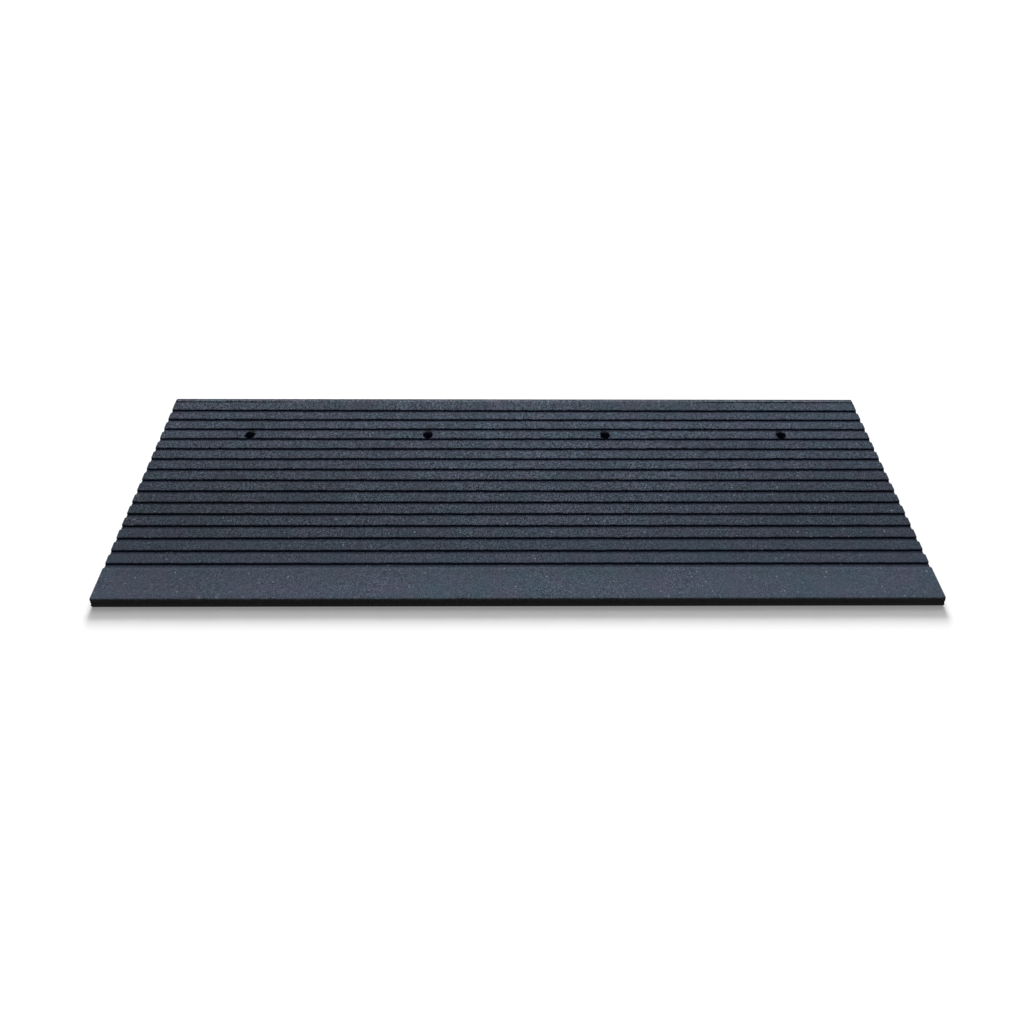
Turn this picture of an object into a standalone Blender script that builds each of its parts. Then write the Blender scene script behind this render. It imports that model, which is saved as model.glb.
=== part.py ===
"""Moulded rubber kerb ramp, in metres with +Z up.

The low toe faces -Y, the high back face is at +Y and the width runs along X. The origin is on
the floor, under the middle of the ramp.

The tread is one outline, seen from the side, that is carried across the whole width. Four
fixing holes go down through one rib. Each holds a steel washer near its foot, which takes
the head of a screw. Drafted channels in the underside let water run out from under the ramp.
"""

import math

import bmesh
import bpy
from mathutils import Matrix

# Overall sizes
WIDTH = 0.900
LENGTH = 0.360
BACK_HEIGHT = 0.045
TOE_HEIGHT = 0.010
CORNER_RADIUS = 0.002  # upright corners, as seen from above
TOE_EDGE_RADIUS = 0.0025
BACK_EDGE_RADIUS = 0.0015

# Ribbed tread
TOE_STRIP = 0.054  # plain strip in front of the first riser
TOP_LAND = 0.009  # level strip along the back edge
LAND_CREASE = 0.0008  # depth of the fine line in front of the land
RISER_PITCH = 0.020
RISER_DEPTH = 0.0025
RISER_TIP_RADIUS = 0.0012
RIB_LEAN = 0.0003  # how much lower a rib's top lies at its riser than at its shoulder
SHOULDER_LENGTH = 0.0045  # length over which a rib's back rounds down to the valley floor
VALLEY_LENGTH = 0.0040  # floor in front of a riser

# Fixing holes
HOLE_COUNT = 4
HOLE_END_DISTANCE = 0.1125  # from each end of the ramp to the nearest hole
HOLE_RIB_FROM_BACK = 4
HOLE_SETBACK = 0.0060  # from the rib's riser back to the hole's centre
HEAD_BORE = 0.0124  # diameter above the washer, for the screw's head
SCREW_BORE = 0.0070  # diameter below the washer, for the screw's shank
MOUTH_BEVEL = 0.0005  # width and depth of the bevel where the hole meets the tread

# Washers, moulded in above the floor
WASHER_OUTER = 0.018
WASHER_INNER = 0.0066
WASHER_THICKNESS = 0.0016
WASHER_EDGE = 0.0002
WASHER_FLOOR_HEIGHT = 0.005
WASHER_CLEARANCE = 0.0003

# Drainage channels in the underside
CHANNEL_DEPTH = 0.004
CHANNEL_MOUTH = 0.010
CHANNEL_DRAFT = math.radians(12)
CHANNEL_FILLET = 0.0010  # in the corners of the roof
CHANNEL_ROW_PITCH = 0.075
CHANNELS_PER_HOLE_SPACING = 3  # an odd number, so that each hole lies in the middle of a pad

# Facets and cutters
ROUND_SEGMENTS = 40
ARC_STEPS = 4
SHOULDER_STEPS = 6
FILLET_STEPS = 2
SHARP_ANGLE = math.radians(30)
CUT_MARGIN = 0.002  # how far a cutter runs past the surface that it opens

# Places that follow from the sizes
FRONT_Y = -LENGTH / 2
BACK_Y = LENGTH / 2
LAND_Y = BACK_Y - TOP_LAND
FIRST_RISER_Y = FRONT_Y + TOE_STRIP
SLOPE = (BACK_HEIGHT - TOE_HEIGHT) / (LAND_Y - FRONT_Y)
RISER_COUNT = int((LAND_Y - FIRST_RISER_Y) / RISER_PITCH) + 1
RISER_YS = [FIRST_RISER_Y + index * RISER_PITCH for index in range(RISER_COUNT)]
HOLE_Y = RISER_YS[-HOLE_RIB_FROM_BACK] + HOLE_SETBACK
HOLE_SPACING = (WIDTH - 2 * HOLE_END_DISTANCE) / (HOLE_COUNT - 1)
HOLE_XS = [HOLE_END_DISTANCE - WIDTH / 2 + index * HOLE_SPACING for index in range(HOLE_COUNT)]
CHANNEL_COLUMN_PITCH = HOLE_SPACING / CHANNELS_PER_HOLE_SPACING

# Axes for an outline drawn as (y, z) and carried along X
SIDE_VIEW = Matrix(((0, 0, 1, 0), (1, 0, 0, 0), (0, 1, 0, 0), (0, 0, 0, 1)))
# Axes for an outline drawn as (x, z) and carried along Y
FRONT_VIEW = Matrix(((1, 0, 0, 0), (0, 0, -1, 0), (0, 1, 0, 0), (0, 0, 0, 1)))


def crest_height(y):
    """Height of the sloping plane that the ribs' tops lie in."""
    return TOE_HEIGHT + SLOPE * (y - FRONT_Y)


def arc(centre, radius, start, end, steps=ARC_STEPS):
    """Points on a circle, from one angle to another, both ends included."""
    angles = [start + (end - start) * step / steps for step in range(steps + 1)]
    return [(centre[0] + radius * math.cos(a), centre[1] + radius * math.sin(a)) for a in angles]


def below_crest(y, drop):
    """A point of the outline, given by how far it lies straight below the ribs' plane."""
    return (y, crest_height(y) - drop)


def front_edge(y, radius, lean=0.0):
    """The rounded edge at the top of an upright face at y, from the face up to the top."""
    angles = [math.pi / 2 * step / ARC_STEPS for step in range(ARC_STEPS + 1)]
    return [below_crest(y + radius * (1 - math.cos(a)), lean + radius * (1 - math.sin(a))) for a in angles]


def valley(riser_y):
    """The back of a rib, as half a wave that drops the riser's depth, and the floor behind it."""
    floor_y = riser_y - VALLEY_LENGTH
    points = []
    for step in range(SHOULDER_STEPS + 1):
        share = step / SHOULDER_STEPS
        drop = RISER_DEPTH * (1 - math.cos(math.pi * share)) / 2
        points.append(below_crest(floor_y - SHOULDER_LENGTH * (1 - share), drop))
    return points + [below_crest(riser_y, RISER_DEPTH)]


def back_outline():
    """The fine line in front of the land, the level land and the back face."""
    crease = [
        (LAND_Y - 2 * LAND_CREASE, crest_height(LAND_Y - 2 * LAND_CREASE)),
        (LAND_Y - LAND_CREASE, crest_height(LAND_Y) - LAND_CREASE),
        (LAND_Y, BACK_HEIGHT),
    ]
    centre = (BACK_Y - BACK_EDGE_RADIUS, BACK_HEIGHT - BACK_EDGE_RADIUS)
    return crease + arc(centre, BACK_EDGE_RADIUS, math.pi / 2, 0.0) + [(BACK_Y, 0.0)]


def side_outline():
    """The whole outline from the side, clockwise from the foot of the front face."""
    points = [(FRONT_Y, 0.0)] + front_edge(FRONT_Y, TOE_EDGE_RADIUS)
    for riser_y in RISER_YS:
        points += valley(riser_y) + front_edge(riser_y, RISER_TIP_RADIUS, RIB_LEAN)
    return points + back_outline()


def plan_outline():
    """The outline from above: a rectangle with small rounded corners."""
    inset_x = WIDTH / 2 - CORNER_RADIUS
    inset_y = LENGTH / 2 - CORNER_RADIUS
    points = []
    for quarter, (sx, sy) in enumerate(((1, 1), (-1, 1), (-1, -1), (1, -1))):
        start = quarter * math.pi / 2
        points += arc((sx * inset_x, sy * inset_y), CORNER_RADIUS, start, start + math.pi / 2)
    return points


def channel_outline():
    """A channel's section: wide at the mouth and narrower at the roof, with filleted corners."""
    lean = math.tan(CHANNEL_DRAFT)
    mouth = CHANNEL_MOUTH / 2 + CUT_MARGIN * lean
    roof = CHANNEL_MOUTH / 2 - CHANNEL_DEPTH * lean
    centre_x = roof - CHANNEL_FILLET * math.tan((math.pi / 2 - CHANNEL_DRAFT) / 2)
    centre = (centre_x, CHANNEL_DEPTH - CHANNEL_FILLET)
    right = [(mouth, -CUT_MARGIN)] + arc(centre, CHANNEL_FILLET, CHANNEL_DRAFT, math.pi / 2, FILLET_STEPS)
    return right + [(-x, z) for x, z in reversed(right)]


def make_collection(name, parent):
    """A new collection inside another."""
    collection = bpy.data.collections.new(name)
    parent.children.link(collection)
    return collection


def make_material(name, color, roughness, metallic):
    """A plain Principled material."""
    material = bpy.data.materials.new(name)
    material.use_nodes = True
    shader = material.node_tree.nodes["Principled BSDF"]
    shader.inputs["Base Color"].default_value = (*color, 1.0)
    shader.inputs["Roughness"].default_value = roughness
    shader.inputs["Metallic"].default_value = metallic
    material.diffuse_color = (*color, 1.0)
    return material


def make_object(name, data, collection):
    """An object for the given mesh or curve, in the given collection."""
    item = bpy.data.objects.new(name, data)
    collection.objects.link(item)
    return item


def mark_as_cutter(item):
    """Show a cutter as a wire frame and keep it out of renders."""
    item.hide_render = True
    item.display_type = "WIRE"


def extruded(name, outline, half_depth, placement, collection):
    """A closed solid: a flat outline carried the same way to both sides of its plane."""
    curve = bpy.data.curves.new(name + "_outline", "CURVE")
    curve.dimensions = "2D"
    curve.fill_mode = "BOTH"
    curve.extrude = half_depth
    spline = curve.splines.new("POLY")
    spline.points.add(len(outline) - 1)
    for point, (u, v) in zip(spline.points, outline):
        point.co = (u, v, 0.0, 1.0)
    spline.use_cyclic_u = True
    drawn = make_object(name + "_outline", curve, collection)
    bpy.context.view_layer.update()
    evaluated = drawn.evaluated_get(bpy.context.evaluated_depsgraph_get())
    mesh = bpy.data.meshes.new_from_object(evaluated)
    mesh.name = name
    bpy.data.objects.remove(drawn)
    bpy.data.curves.remove(curve)

    shape = bmesh.new()
    shape.from_mesh(mesh)
    bmesh.ops.remove_doubles(shape, verts=shape.verts, dist=1e-6)
    bmesh.ops.transform(shape, matrix=placement, verts=shape.verts)
    bmesh.ops.recalc_face_normals(shape, faces=shape.faces)
    shape.to_mesh(mesh)
    shape.free()
    return make_object(name, mesh, collection)


def turned(name, profile, closed, collection):
    """A solid turned about Z. The profile is (radius, z), and runs down its outer side."""
    mesh = bpy.data.meshes.new(name)
    edges = [(index, index + 1) for index in range(len(profile) - 1)]
    if closed:
        edges.append((len(profile) - 1, 0))
    mesh.from_pydata([(radius, 0.0, z) for radius, z in profile], edges, [])
    item = make_object(name, mesh, collection)
    turn = item.modifiers.new("turn", "SCREW")
    turn.axis = "Z"
    turn.steps = ROUND_SEGMENTS
    turn.render_steps = ROUND_SEGMENTS
    turn.use_merge_vertices = True
    turn.merge_threshold = 1e-6
    return item


def settle(item):
    """Keep the shape that an object's modifiers make, shaded smooth up to its real edges."""
    bpy.context.view_layer.update()
    evaluated = item.evaluated_get(bpy.context.evaluated_depsgraph_get())
    mesh = bpy.data.meshes.new_from_object(evaluated)
    mesh.name = item.name
    item.modifiers.clear()
    item.data = mesh
    mesh.shade_smooth()
    mesh.set_sharp_from_angle(angle=SHARP_ANGLE)


def cut(item, operation, cutter=None, cutters=None):
    """Add a Boolean with one cutter, or with a collection of them."""
    modifier = item.modifiers.new(operation.lower(), "BOOLEAN")
    modifier.operation = operation
    modifier.solver = "EXACT"
    if cutters:
        modifier.operand_type = "COLLECTION"
        modifier.collection = cutters
    else:
        modifier.object = cutter


def follow_tread(item, straight_up_to):
    """Shear what lies above a height, straight up or down, so that it runs along the tread."""
    for vertex in item.data.vertices:
        if vertex.co.z > straight_up_to:
            vertex.co.z += SLOPE * vertex.co.y


def make_hole_cutter(index, x, collection):
    """The stepped hole for one screw, with a bevelled mouth and the pocket that the washer sits in."""
    pocket_floor = WASHER_FLOOR_HEIGHT - WASHER_CLEARANCE
    pocket_roof = WASHER_FLOOR_HEIGHT + WASHER_THICKNESS + WASHER_CLEARANCE
    pocket_radius = WASHER_OUTER / 2 + WASHER_CLEARANCE
    mouth = crest_height(HOLE_Y)
    profile = [
        (0.0, mouth + CUT_MARGIN),
        (HEAD_BORE / 2 + MOUTH_BEVEL + CUT_MARGIN, mouth + CUT_MARGIN),
        (HEAD_BORE / 2, mouth - MOUTH_BEVEL),
        (HEAD_BORE / 2, pocket_roof),
        (pocket_radius, pocket_roof),
        (pocket_radius, pocket_floor),
        (SCREW_BORE / 2, pocket_floor),
        (SCREW_BORE / 2, -CUT_MARGIN),
        (0.0, -CUT_MARGIN),
    ]
    cutter = turned(f"hole_cutter_{index}", profile, False, collection)
    settle(cutter)
    follow_tread(cutter, mouth - 2 * MOUTH_BEVEL)
    cutter.location = (x, HOLE_Y, 0.0)
    mark_as_cutter(cutter)


def make_channel_cutters(collection):
    """Bars for the channels: columns that open at the back, and rows that open at both ends."""
    column_length = BACK_Y + CUT_MARGIN - FIRST_RISER_Y
    column_y = FIRST_RISER_Y + column_length / 2
    first_x = HOLE_XS[0] - CHANNEL_COLUMN_PITCH / 2
    columns = CHANNELS_PER_HOLE_SPACING * (HOLE_COUNT - 1) + 1
    for index in range(columns + 1):
        x = first_x + index * CHANNEL_COLUMN_PITCH
        bar = extruded(
            f"column_cutter_{index}", channel_outline(), column_length / 2, FRONT_VIEW, collection
        )
        bar.location = (x, column_y, 0.0)
        mark_as_cutter(bar)

    row_y = HOLE_Y + CHANNEL_ROW_PITCH / 2
    index = 0
    while row_y > FIRST_RISER_Y + CHANNEL_MOUTH:
        bar = extruded(
            f"row_cutter_{index}", channel_outline(), WIDTH / 2 + CUT_MARGIN, SIDE_VIEW, collection
        )
        bar.location = (0.0, row_y, 0.0)
        mark_as_cutter(bar)
        row_y -= CHANNEL_ROW_PITCH
        index += 1


def make_ramp_body(material, parts, cutters, holes, channels):
    """The rubber moulding."""
    body = extruded("ramp_body", side_outline(), WIDTH / 2 + CUT_MARGIN, SIDE_VIEW, parts)
    plan = extruded("plan_cutter", plan_outline(), BACK_HEIGHT + CUT_MARGIN, Matrix.Identity(4), cutters)
    mark_as_cutter(plan)
    for index, x in enumerate(HOLE_XS, start=1):
        make_hole_cutter(index, x, holes)
    make_channel_cutters(channels)
    cut(body, "INTERSECT", cutter=plan)
    cut(body, "DIFFERENCE", cutters=channels)
    cut(body, "DIFFERENCE", cutters=holes)
    settle(body)
    body.data.materials.append(material)
    return body


def make_washer(index, x, material, parts):
    """One flat steel washer, with its edges just broken."""
    inner, outer = WASHER_INNER / 2, WASHER_OUTER / 2
    top, edge = WASHER_THICKNESS, WASHER_EDGE
    profile = [
        (inner + edge, top),
        (outer - edge, top),
        (outer, top - edge),
        (outer, edge),
        (outer - edge, 0.0),
        (inner + edge, 0.0),
        (inner, edge),
        (inner, top - edge),
    ]
    washer = turned(f"washer_{index}", profile, True, parts)
    settle(washer)
    washer.location = (x, HOLE_Y, WASHER_FLOOR_HEIGHT)
    washer.data.materials.append(material)
    return washer


def main():
    """Build the ramp in an empty scene."""
    for item in list(bpy.data.objects):
        bpy.data.objects.remove(item)

    scene_collection = bpy.context.scene.collection
    parts = make_collection("curb_ramp", scene_collection)
    cutters = make_collection("curb_ramp_cutters", scene_collection)
    holes = make_collection("hole_cutters", cutters)
    channels = make_collection("channel_cutters", cutters)

    rubber = make_material("moulded_rubber", (0.060, 0.074, 0.098), 0.75, 0.0)
    steel = make_material("zinc_plated_steel", (0.55, 0.56, 0.57), 0.35, 1.0)

    ramp = make_object("curb_ramp", None, parts)
    pieces = [make_ramp_body(rubber, parts, cutters, holes, channels)]
    for index, x in enumerate(HOLE_XS, start=1):
        pieces.append(make_washer(index, x, steel, parts))
    for piece in pieces:
        piece.parent = ramp


main()
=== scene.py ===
"""The looks of a moulded crumb-rubber kerb ramp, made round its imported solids.

Everything is in metres, with +Z up. The low toe faces -Y, the high back face is at +Y and the
width runs along X.
"""

import math

import bmesh
import bpy
import numpy as np
from mathutils import Matrix, Vector
from mathutils.bvhtree import BVHTree
from mathutils.interpolate import poly_3d_calc


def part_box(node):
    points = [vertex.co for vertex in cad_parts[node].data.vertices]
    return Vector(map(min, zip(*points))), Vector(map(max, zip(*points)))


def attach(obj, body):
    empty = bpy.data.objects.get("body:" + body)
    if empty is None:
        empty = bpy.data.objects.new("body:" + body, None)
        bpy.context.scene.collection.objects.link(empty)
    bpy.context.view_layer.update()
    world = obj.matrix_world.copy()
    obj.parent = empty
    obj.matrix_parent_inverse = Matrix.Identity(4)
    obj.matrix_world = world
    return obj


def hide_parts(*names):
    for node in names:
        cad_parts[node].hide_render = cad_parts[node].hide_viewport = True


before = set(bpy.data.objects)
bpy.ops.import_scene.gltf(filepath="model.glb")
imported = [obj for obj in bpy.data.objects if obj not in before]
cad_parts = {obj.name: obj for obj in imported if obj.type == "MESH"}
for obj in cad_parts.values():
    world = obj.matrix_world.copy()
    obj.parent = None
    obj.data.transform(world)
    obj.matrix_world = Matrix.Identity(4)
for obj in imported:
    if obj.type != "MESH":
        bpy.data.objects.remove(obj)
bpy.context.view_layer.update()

BODY = "root"

# The ramp's box and the washers' places, from the frame
RAMP_LOW, RAMP_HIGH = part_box("ramp_body")
WASHER_NAMES = sorted(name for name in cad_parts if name.startswith("washer_"))
WASHER_BOXES = [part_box(name) for name in WASHER_NAMES]
HALF_WIDTH = RAMP_HIGH.x
FRONT_Y = RAMP_LOW.y
BACK_Y = RAMP_HIGH.y
BACK_HEIGHT = RAMP_HIGH.z

# Tread, as it is moulded
TOE_HEIGHT = 0.010
TOE_STRIP = 0.054
TOP_LAND = 0.009
RISER_PITCH = 0.020
RISER_COUNT = 15
RISER_DEPTH = 0.0025
RISER_TIP = 0.0012
RIB_LEAN = 0.0003  # how much lower a rib's top lies at its riser than at its shoulder
SHOULDER_LENGTH = 0.0045
VALLEY_LENGTH = 0.0040
TOP_EASE = 0.0007  # from the roundings of a rib to where its top shades flat
FOOT_FILLET = 0.0004
TOE_EDGE = 0.0025
BACK_EDGE = 0.0015
LAND_Y = BACK_Y - TOP_LAND
FIRST_RISER_Y = FRONT_Y + TOE_STRIP
SLOPE = (BACK_HEIGHT - TOE_HEIGHT) / (LAND_Y - FRONT_Y)
RISER_YS = FIRST_RISER_Y + RISER_PITCH * np.arange(RISER_COUNT)

# The fine crease before the land, which fades towards the middle of the width
CREASE_WIDTH = 0.0026
CREASE_DEPTH = 0.0036
CREASE_MIDDLE = -0.03
CREASE_FADE_START = 0.385  # how far from the middle it starts to fade
CREASE_FADE_END = 0.235  # how far from the middle it has faded
CREASE_LEFT = 0.05  # the share of it that is left where it has faded

# Rounding of the ends: at the front corners, at the left and right back corners, and on the tread
FRONT_CORNER = 0.0022
BACK_CORNERS = (0.0038, 0.0018)
END_ROUNDING = 0.00045
FLASH = 0.0002  # how far the mould line may stand out of the faces

# Marks along the outline, from 0 to 1 and point by point: edge wear, partly a painted highlight on the rib
# tips and the back land; grey bloom, kept low as painted shade on upright faces, at the riser feet and down
# into the valleys; and painted groove shade
TOE_WEAR = 0.15
TOE_BLOOM_AND_SHADE = (0.0, 0.0, 0.0, 0.05, 0.35, 0.85, 1.0)
SHOULDER_BLOOM_AND_SHADE = (1.0, 0.90, 0.72, 0.64, 0.66, 0.70)
SHOULDER_GROOVE_SHADE = (0.0, 0.0, 0.1, 0.2, 0.3, 0.4)
VALLEY_BLOOM_AND_SHADE = 0.55
VALLEY_GROOVE_SHADE = 0.6
FOOT_BLOOM_AND_SHADE = (0.22, 0.03, 0.0)
FOOT_GROOVE_SHADE = (0.8, 1.0, 1.0)
TIP_WEAR_AND_HIGHLIGHT = (0.05, 0.15, 0.20, 0.15, 0.05)
TIP_BLOOM_AND_SHADE = (0.0, 0.15, 0.75, 1.0, 1.0)
TIP_GROOVE_SHADE = (1.0, 0.8, 0.2, 0.0, 0.0)
CREASE_BLOOM_AND_SHADE = (1.0, 1.0, 0.0, 0.0)
CREASE_GROOVE_SHADE = (0.0, 0.0, 1.0, 1.0)
LAND_EDGE_WEAR_AND_HIGHLIGHT = 0.9
LAND_WEAR_AND_HIGHLIGHT = 1.0
END_WEAR = 0.6

# Unevenness of the moulding, with the lengths of the waves that it is made of
STATION_STEP = 0.0033  # between the outlines that make up the skin across the width
END_GAP = 0.001  # between the rounded ends and the first of those outlines
TREAD_RIPPLE = 0.00006
RIPPLE_DROP = 1.5  # how many ripples the tread lies below its plane on average
SHORT_RIPPLE = 0.012
LONG_RIPPLE = 0.045
RISER_WANDER = 0.00012
LONG_WANDER = 0.009
SHORT_WANDER = 0.0055
CHIP_DEPTH = 0.00030
CHIP_SPACING = 0.007
CHIP_LEVEL = 1.0  # how high the chips' waves stand before a crumb is missing

# Broad paler and darker patches of the tread: centre x and y, reach in x and y, change of tone
TONE_PATCHES = (
    (-0.36, -0.03, 0.17, 0.060, -0.24),
    (0.38, -0.03, 0.12, 0.050, -0.15),
    (-0.38, -0.08, 0.12, 0.030, -0.08),
    (-0.42, 0.11, 0.06, 0.030, 0.10),
    (0.36, 0.08, 0.14, 0.035, 0.06),
    (0.12, 0.15, 0.32, 0.060, 0.15),
    (0.38, 0.10, 0.16, 0.060, 0.06),
    (0.00, 0.12, 0.60, 0.110, 0.17),
    (0.08, 0.04, 0.18, 0.035, 0.08),
    (0.00, -0.125, 0.60, 0.012, 0.08),
    (0.30, -0.11, 0.25, 0.035, 0.04),
    (0.03, 0.02, 0.20, 0.120, 0.05),
    (0.43, 0.145, 0.07, 0.040, 0.17),
    (0.30, 0.14, 0.09, 0.050, 0.08),
    (-0.43, 0.110, 0.06, 0.018, 0.20),
    (0.05, 0.03, 0.10, 0.050, 0.05),
    (0.28, 0.00, 0.12, 0.030, 0.05),
    (-0.42, -0.036, 0.09, 0.014, -0.07),
    (0.10, -0.116, 0.40, 0.010, 0.08),
    (0.38, -0.075, 0.12, 0.035, -0.05),
    (-0.12, -0.070, 0.25, 0.030, -0.03),
    (-0.17, 0.155, 0.30, 0.022, -0.10),
    (-0.20, 0.030, 0.32, 0.070, -0.04),
    (0.20, 0.090, 0.10, 0.030, -0.05),
    (0.00, -0.116, 0.60, 0.010, 0.03),
    (0.00, -0.1375, 0.60, 0.0052, -0.19),
    (0.00, -0.168, 0.60, 0.014, 0.10),
    (-0.36, -0.155, 0.13, 0.030, -0.13),
)

# Where the tread's tint leans from teal to purple, laid out like the patches above
TINT_PATCHES = (
    (-0.37, -0.155, 0.13, 0.030, 0.38),
    (-0.28, 0.030, 0.13, 0.070, 0.12),
    (0.20, 0.080, 0.28, 0.070, -0.08),
    (0.42, -0.080, 0.06, 0.050, 0.10),
)

# How strongly the crumbs differ, by Y, and by how much less that is towards the ends
GRAIN_YS = (-0.180, -0.126, -0.116, -0.096, -0.076, -0.056, -0.016, 0.024, 0.060, 0.180)
GRAIN_STRENGTHS = (0.45, 0.50, 0.58, 0.66, 0.84, 1.05, 1.16, 1.25, 1.45, 1.48)
GRAIN_MIDDLE = -0.05
GRAIN_LEVEL = 1.08
GRAIN_END_LOSS = 0.35
GRAIN_BRIGHTENING = 0.135  # how much a unit of grain brightens the tread, which the tone evens out
EVEN_GRAIN = 0.85
PLAIN_GRAIN = 0.6  # of the surfaces that the mould line and the channels bring

# What is stored at each point of the rubber for its material to read
RUBBER_VALUES = ("bloom_and_shade", "edge_wear_and_highlight", "groove_shade", "broad_tone", "grain_contrast", "smooth_strip", "purple")

# Edges that turn by more than this many degrees are shaded sharp
RUBBER_SHARP_EDGE = 38
WASHER_SHARP_EDGE = 50

# Fixing holes
HEAD_BORE_RADIUS = 0.0062
SCREW_BORE_RADIUS = 0.0035
WASHER_CLEARANCE = 0.0003
HOLE_POINTS = 72  # round each hole
MOUTH_BEVEL = 0.0005
BARE_BEVELS = 1.25  # how many bevels below the rim the wall has no bloom left
BLOOM_BEVELS = 0.65  # how many bevels below the rim the bloom is still whole
RAGGED_BEVELS = 6  # how many bevels below the rim the raggedness ends
RIM_RAGGEDNESS = 0.00032
LONG_RAG = 1.1  # the lengths of the ragged waves, in radii
SHORT_RAG = 0.45
# Painted shade round the mouths of the holes, carried onto the ribs' backs behind them so that the holes
# look darker and longer
HOLE_SHADE_HALF_WIDTH = 0.0063
HOLE_SHADE_HALF_LENGTH = 0.0087
HOLE_SHADE_SETBACK = 0.0015  # how far behind a hole's axis the painted shade round it is centred
HOLE_SHADE_TRAIL = 1.25  # how much further back the painted shade lies for each unit down the rib's back
HOLE_SHADE_SOFTNESS = 0.08
WALL_PAINTED_LIFT = 2.8  # how much paler the holes' walls are painted than the risers, as painted light that lifts the dark inside the holes

# Washers
WASHER_POINTS = 96  # round each washer
WASHER_EDGE = 0.00025
WASHER_LEDGE = 0.0002  # how far a washer stands into the screw's bore

# Channels in the underside
CHANNEL_DEPTH = 0.004
CHANNEL_MOUTH = 0.010
CHANNEL_DRAFT = math.radians(12)
CHANNEL_FILLET = 0.001
CHANNEL_ROW_PITCH = 0.075
CHANNELS_PER_HOLE_SPACING = 3
CUT_MARGIN = 0.002  # how far a cutter reaches past the surface that it cuts

# Mould line round the faces
MOULD_LINE_HEIGHT = 0.0052
MOULD_LINE_WIDTH = 0.0007
MOULD_LINE_ROOT = 0.0006
MOULD_LINE_STEP = 0.006
MOULD_LINE_WAVE = 0.03

# Colours, as linear light, and the tints that multiply them
FRESH_BLACK = (0.0140, 0.0137, 0.0150)
GROOVE_SHADE_BLACK = (0.0002, 0.0065, 0.0400)
BLOOM_GREY = (0.0560, 0.0715, 0.0985)
TEAL_TINT = (0.83, 1.04, 1.01)
PURPLE_TINT = (1.15, 0.965, 1.04)
SCUFF_AND_HIGHLIGHT_GREY = (0.170, 0.175, 0.188)
STRIP_TINT = (1.46, 1.485, 1.42)
CRUMB_GREY = (0.280, 0.300, 0.325)
FLECK_GREY = (0.48, 0.52, 0.56)
ZINC = (0.52, 0.54, 0.56)
ZINC_DULL = (0.30, 0.31, 0.32)

# Finish of the rubber
CRUMB_SIZE = 0.0009
CRUMB_CONTRAST = 1.92
CRUMB_RELIEF = 0.00045
PALE_CRUMB_SPACING = 0.0020
PALE_CRUMB_SIZE = 0.0009
FLECK_SPACING = 0.0070
FLECK_SIZE = 0.0012
FLECK_SHARE = 0.60  # of the places for a fleck that have one
CLOUD_SIZE = 0.030
BROAD_CLOUD_SIZE = 0.14
COARSE_PATCH_SIZE = 0.045
SCUFFING_AND_HIGHLIGHT = 0.55
RUBBER_SPECULAR = 0.25

# Finish of the washers
PLATING_CLOUD_SIZE = 0.004
PLATING_GRAIN_SIZE = 0.0006
PLATING_RELIEF = 0.00001

# Camera, fitted to the ribs, holes and corners in the photograph
PHOTO_SIZE = 1024
CAMERA_PLACE = Vector((-0.0232, -0.910, 0.666))
CAMERA_YAW = math.radians(1.041)
CAMERA_TILT = math.radians(36.59)
CAMERA_ROLL = math.radians(-0.60)
FOCAL_PIXELS = 932.7
SENSOR_WIDTH = 36.0

# Studio light: each soft lamp as (elevation behind the ramp, angle across, strength, colour)
TREAD_LAMP = (52.0, 50.0, 2.3, (0.93, 0.98, 1.06))
FLOOR_LAMPS = ((17.0, 28.0, 8.4, (1.0, 1.0, 1.0)), (35.0, 66.0, 1.73, (1.0, 1.0, 1.0)))
FLOOR_DROP = 0.0003
FLOOR_REACH = 30.0
FLOOR_PAINT = 0.80
FLOOR_GLOW = 0.205
ROOM_ABOVE = 0.10
ROOM_BELOW = 0.32
ROOM_HORIZON = 0.3  # how far up and down, as a sine, the room's two strengths blend


def waves(points, wavelength, seed, count=24):
    """Smooth unevenness: a sum of sine waves whose directions, lengths and phases are drawn once.

    Each wave is sin(k . p + phase), with |k| near 2 pi over the wavelength. The sum is scaled to
    a spread of about one.
    """
    rng = np.random.default_rng(seed)
    size = points.shape[-1]
    directions = rng.normal(size=(count, size))
    directions /= np.linalg.norm(directions, axis=1, keepdims=True)
    lengths = wavelength * rng.uniform(0.7, 1.5, count)
    phases = rng.uniform(0, 2 * np.pi, count)
    k = directions * (2 * np.pi / lengths)[:, None]
    return np.sin(points @ k.T + phases).sum(axis=-1) * math.sqrt(2 / count)


def smooth_step(value, start, end):
    """0 before start, 1 after end, and 3t^2 - 2t^3 between them."""
    t = np.clip((value - start) / (end - start), 0, 1)
    return t * t * (3 - 2 * t)


def arc(centre, radius, start, end, steps):
    """Points of a circle from one angle to another: centre + radius (cos a, sin a)."""
    angles = np.linspace(start, end, steps + 1)
    return np.stack((centre[0] + radius * np.cos(angles), centre[1] + radius * np.sin(angles)), axis=-1)


def line(start, end, steps):
    """Evenly spaced points of a straight line, both ends included."""
    return np.linspace(start, end, steps + 1)


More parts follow.
